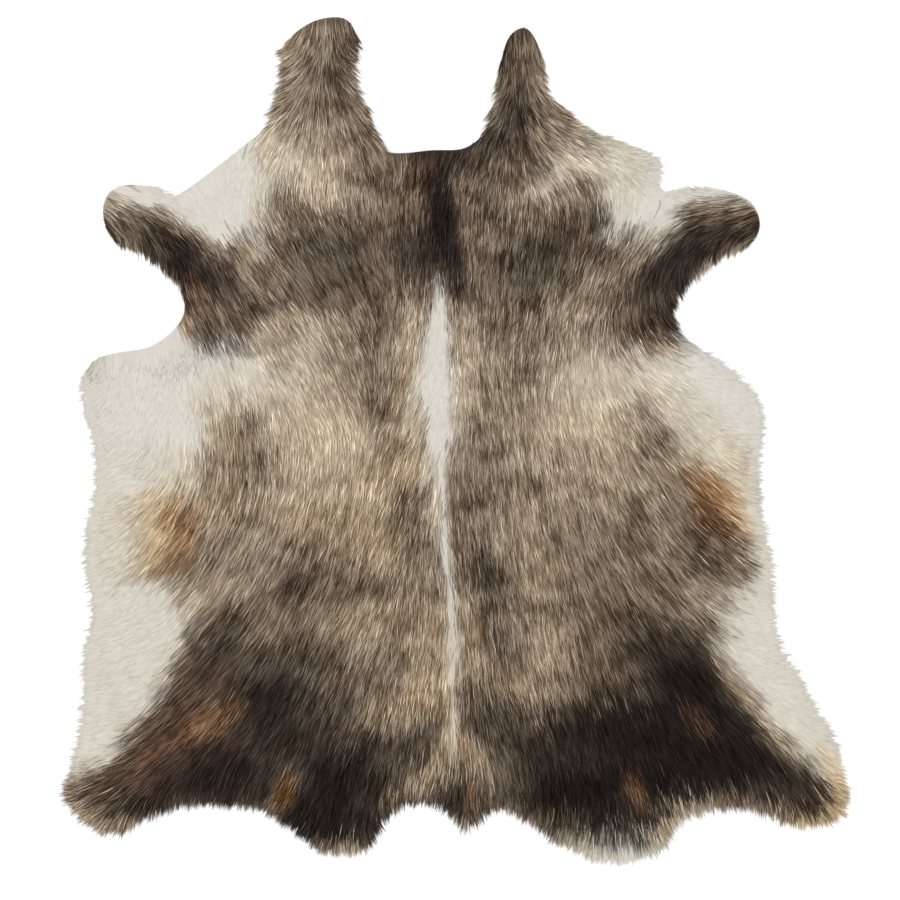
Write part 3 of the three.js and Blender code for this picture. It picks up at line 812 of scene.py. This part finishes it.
def grown(hide, layer, roots, shared, steps, rng):
    """Each strand's length, its points and the way it runs at each of them."""
    count = len(shared)
    length = hide.length(*roots) * layer.length_share * between(CLUMP_LENGTHS, shared)
    length = length * rng.uniform(*LENGTHS, count)
    turn = np.radians(layer.spread) * rng.normal(0, 1, count)
    points, _ = strand_path(hide, roots, length, turn, steps)
    length = trimmed(hide, points[-1], length, shared, rng)
    return length, *strand_path(hide, roots, length, turn, steps)


def build_strands(hide, layer):
    rng = np.random.default_rng(layer.seed)
    steps = np.linspace(0, 1, layer.sections)
    roots = scattered_roots(hide, layer.spacing * MM, rng)
    centre, shared = clump_of(roots)
    count = len(shared)
    length, points, ways = grown(hide, layer, roots, shared, steps, rng)

    # The colour is taken where the strand shows, towards its tip
    shown = SHOWN_PART + SHOWN_SPREAD * rng.normal(0, 1, count) + SHOWN_BY_CLUMP * (shared - 0.5)
    tone = hide.tone(*(roots + ways[0] * length * shown))
    fringe = 1 - smoothstep(0, FRINGE_WIDTH, hide.depth(*points[-1]))
    tip_tone = tone + (FRINGE_SHARE * fringe)[:, None] * (hide.tone(*points[-1]) - tone)
    mix = mixed(tone)

    lift = layer.lift * MM * rng.uniform(*LIFTS, count) * hide.length(*roots) / USUAL_LENGTH
    side = sideways(ways[0])
    aside = side * rng.uniform(*LEANS, count) * ((centre - roots) * side).sum(axis=0)
    roll = np.radians(ROLL_SPREAD) * rng.normal(0, 1, count) * mix
    inner = smoothstep(0, WHITE_EDGE, hide.depth(*points[-1]))
    width = layer.width * MM * between(CLUMP_WIDTHS, shared) * (1 + (WHITE_WIDTH - 1) * (1 - mix) * inner)

    leaning = [place + aside * step**LEAN_POWER for place, step in zip(points, steps)]
    base = hide.ground(*roots) + LEATHER_THICKNESS
    rise = lift * between((WHITE_LIFT, 1), mix)
    corners = ribbon_points(hide, steps, leaning, ways, base, rise, width, roll)
    along = np.repeat(steps, 2)[:-1]
    color = strand_color(hide, layer, (tone, tip_tone), roots + aside / 2, length, along, rng)
    return ribbons(layer, corners, color)


def ribbon_points(hide, steps, points, ways, base, rise, width, roll):
    """Each ribbon's points: a pair at each step, and a single one at the tip."""
    corners = []
    for step, place, way in zip(steps, points, ways):
        past_leather = np.clip(hide.overhang(*place) - hide.depth(*place), 0, None)
        droop = 1 - DROOP * smoothstep(0, DROOP_REACH, past_leather)
        height = (base + rise * (1 - (1 - step) ** RISE_POWER)) * droop
        half = 0.5 * width * (ROOT_WIDTH + BELLY * step - (ROOT_WIDTH + BELLY) * step * step)
        over = np.vstack([sideways(way) * np.cos(roll) * half, np.sin(roll) * half])
        middle = np.vstack([place, np.maximum(height, LOWEST_HAIR + np.abs(over[2]))])
        corners += [middle - over, middle + over] if step < 1 else [middle]
    return np.array(corners).transpose(2, 0, 1)


def mixed(tone):
    """1 where the coat is a mix of light and dark hair, 0 where it is white."""
    return 1 - smoothstep(*MIXED_LIGHTNESS, tone.mean(axis=1))


def streak_contrast(light):
    """Most in dark brown hair, less in black hair and least in pale hair."""
    gained = DARK_GAIN * smoothstep(*DARK_LIGHTNESS, light)
    return BLACK_CONTRAST + gained - PALE_LOSS * np.clip(light - PALE_START, 0, PALE_SPAN)


def strand_color(hide, layer, tones, place, length, along, rng):
    """Each strand's colour at its points: the coat's tone there, in streaks, with painted shade on the lower
    layers and painted light on the upper ones, and darker at the root, partly as painted shade.
    """
    tone, tip_tone = tones
    mix = mixed(tone)
    light = tone.mean(axis=1)
    contrast = between((EVEN_CONTRAST, streak_contrast(light)), mix)
    shown = place + hide.way(*place) * length * SHOWN_PART
    change = hide.streak(shown) + layer.contrast * rng.normal(0, 1, len(light))
    gain = np.minimum(np.exp(contrast * change), MOST_GAIN)
    pale = linear(TONES[PALE_TONE])
    pale = pale / pale.mean() * light[:, None]
    shift = tip_tone - tone
    tone = tone + PALE_SHARE * np.clip(gain - 1, 0, 1)[:, None] * (pale - tone)
    # the streaks' gain times the layer's painted shade or painted light
    shade = (gain * layer.brightness ** np.clip(mix + EVEN_PAINTED_SHADING, 0, 1))[:, None]
    # darker at the root: partly the hair's own colour, partly painted shade
    root = (1 - ROOT_SHADE * mix)[:, None]
    tip = smoothstep(TIP_START, 1, along)[None]
    grade = shade * (root + (1 - root) * smoothstep(0, ROOT_REACH, along)[None])
    grade = grade ** (1 - tip * np.clip(mix - mixed(tip_tone), 0, 1)[:, None])
    tone = np.clip(tone[:, None, :] + shift[:, None, :] * tip[:, :, None], 0, 1)
    # darkened parts, painted shade among them, turn browner
    shading = np.minimum(grade, 1)[:, :, None] ** np.array(SHADE_WARMTH)
    return tone * shading * np.maximum(grade, 1)[:, :, None]


def ribbons(layer, points, color):
    """One mesh of flat pointed ribbons, from each strand's points in pairs and the single one at its tip."""
    count, per_strand, _ = points.shape
    faces = [(per_strand - 3, per_strand - 2, per_strand - 1)]
    for a in range(0, per_strand - 3, 2):
        faces += [(a, a + 1, a + 3), (a, a + 3, a + 2)]
    faces = np.array(faces)
    indices = (np.arange(count)[:, None, None] * per_strand + faces[None]).reshape(-1, 3)
    mesh = bpy.data.meshes.new(layer.name)
    mesh.from_pydata(points.reshape(-1, 3).tolist(), [], indices.tolist(), shade_flat=False)
    paint(mesh, color.reshape(-1, 3))
    cell_uv(mesh, count, per_strand, faces)
    mesh.materials.append(bpy.data.materials.get("hair") or hair_material("hair"))
    return placed(layer.name, mesh)


def cell_uv(mesh, count, per_strand, faces):
    """Gives each strand a small cell of its own on the map, in the order of its root."""
    across = math.ceil(math.sqrt(count))
    cell = np.arange(count)
    corner = np.column_stack([cell % across, cell // across]) / across
    pairs = (per_strand + 1) // 2
    u = np.tile(CELL_SIDES, pairs)[:per_strand]
    u[-1] = 0.5
    v = between(CELL_ENDS, np.repeat(np.linspace(0, 1, pairs), 2)[:per_strand])
    local = np.column_stack([u, v]) / across
    uv = (corner[:, None, None] + local[faces][None]).reshape(-1, 2)
    layer = mesh.uv_layers.new(name="OFBake")
    layer.data.foreach_set("uv", uv.astype(np.float32).ravel())


# Materials
class Nodes:
    """A short way to lay out a material's nodes."""

    def __init__(self, name):
        self.material = bpy.data.materials.new(name)
        self.material.use_nodes = True
        self.tree = self.material.node_tree
        self.tree.nodes.clear()

    def add(self, kind, inputs, **settings):
        """A node, with each of its inputs set to a value or linked to another node's output."""
        node = self.tree.nodes.new(kind)
        for key, value in settings.items():
            setattr(node, key, value)
        for key, value in inputs.items():
            if isinstance(value, bpy.types.NodeSocket):
                self.tree.links.new(value, node.inputs[key])
            else:
                node.inputs[key].default_value = value
        return node

    def noise(self, place, scale, detail):
        noise = self.add("ShaderNodeTexNoise", {"Vector": place, "Scale": scale, "Detail": detail})
        return noise.outputs["Fac"]

    def ranged(self, value, low, high, source=(0, 1)):
        limits = {"From Min": source[0], "From Max": source[1], "To Min": low, "To Max": high}
        return self.add("ShaderNodeMapRange", {"Value": value, **limits}).outputs["Result"]

    def bump(self, height, strength, depth):
        bump = self.add("ShaderNodeBump", {"Height": height, "Strength": strength, "Distance": depth})
        return bump.outputs["Normal"]

    def finished(self, inputs):
        """The material, with a shader that has these inputs."""
        shader = self.add("ShaderNodeBsdfPrincipled", inputs)
        self.add("ShaderNodeOutputMaterial", {"Surface": shader.outputs["BSDF"]})
        return self.material


def hair_material(name):
    n = Nodes(name)
    coat = n.add("ShaderNodeAttribute", {}, attribute_name="coat").outputs["Color"]
    uv = n.add("ShaderNodeTexCoord", {}).outputs["UV"]
    stretched = n.add("ShaderNodeMapping", {"Vector": uv, "Scale": (1300, 160, 1)}).outputs["Vector"]
    fine = n.noise(stretched, scale=1, detail=2)
    streak = n.ranged(fine, low=0.95, high=1.05, source=(0.3, 0.7))
    tint = n.add("ShaderNodeVectorMath", {0: coat, "Scale": streak}, operation="SCALE")
    return n.finished({
        "Base Color": tint.outputs["Vector"],
        "Roughness": n.ranged(fine, low=0.44, high=0.6),
        "Specular IOR Level": 0.12,
        "Normal": n.bump(fine, strength=0.2, depth=0.3 * MM),
    })


def suede_material():
    n = Nodes("suede")
    place = n.add("ShaderNodeTexCoord", {}).outputs["Object"]
    mottle = n.noise(place, scale=9, detail=6)
    nap = n.noise(place, scale=420, detail=4)
    share = n.add("ShaderNodeMath", {0: mottle, 1: 0.65}, operation="MULTIPLY").outputs["Value"]
    both = n.add("ShaderNodeMath", {0: nap, 1: 0.35, 2: share}, operation="MULTIPLY_ADD").outputs["Value"]
    color = n.add("ShaderNodeValToRGB", {"Fac": both})
    dark, light = color.color_ramp.elements
    dark.position, dark.color = 0.32, (0.34, 0.25, 0.17, 1)
    light.position, light.color = 0.7, (0.56, 0.45, 0.33, 1)
    return n.finished({
        "Base Color": color.outputs["Color"],
        "Roughness": n.ranged(nap, low=0.82, high=0.98),
        "Specular IOR Level": 0.2,
        "Normal": n.bump(nap, strength=0.5, depth=0.6 * MM),
    })


# Stage
def build_stage():
    half = FLOOR_SIZE / 2
    mesh = bpy.data.meshes.new("floor")
    corners = [(-half, -half, 0), (half, -half, 0), (half, half, 0), (-half, half, 0)]
    mesh.from_pydata(corners, [], [(0, 1, 2, 3)])
    grey = (FLOOR_GREY, FLOOR_GREY, FLOOR_GREY, 1)
    mesh.materials.append(Nodes("floor").finished({"Base Color": grey, "Roughness": 0.9}))
    floor = placed("floor", mesh)

    world = bpy.data.worlds.new("studio")
    world.use_nodes = True
    background = world.node_tree.nodes["Background"]
    background.inputs["Color"].default_value = (1, 1, 1, 1)
    background.inputs["Strength"].default_value = SKY_STRENGTH
    bpy.context.scene.world = world

    sun = bpy.data.lights.new("key", "SUN")
    sun.energy = SUN_STRENGTH
    sun.angle = math.radians(SUN_ANGLE)
    placed("key", sun).rotation_euler = [math.radians(tilt) for tilt in SUN_TILT]
    bpy.context.scene.view_settings.view_transform = "Standard"
    bpy.context.scene.view_settings.look = "None"


def build_camera():
    data = bpy.data.cameras.new("camera")
    data.lens = LENS
    data.sensor_width = SENSOR
    data.clip_end = FARTHEST
    camera = placed("camera", data)
    camera.location = (*VIEW_CENTRE, VIEW_WIDTH * LENS / SENSOR)
    bpy.context.scene.camera = camera


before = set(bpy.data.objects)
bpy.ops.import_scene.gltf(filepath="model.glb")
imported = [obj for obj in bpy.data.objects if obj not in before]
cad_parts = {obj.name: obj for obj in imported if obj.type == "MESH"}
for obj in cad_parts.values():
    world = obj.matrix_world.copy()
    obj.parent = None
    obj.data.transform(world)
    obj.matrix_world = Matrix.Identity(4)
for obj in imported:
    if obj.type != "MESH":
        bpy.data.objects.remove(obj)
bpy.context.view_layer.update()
build_camera()
build_stage()

hide = Hide(outline_of(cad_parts["hide"]))
leather, leather_size, leather_area = build_leather(hide)
strands = [build_strands(hide, layer) for layer in LAYERS]

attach(leather, "root")
for piece in strands:
    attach(piece, "root")
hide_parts("hide")
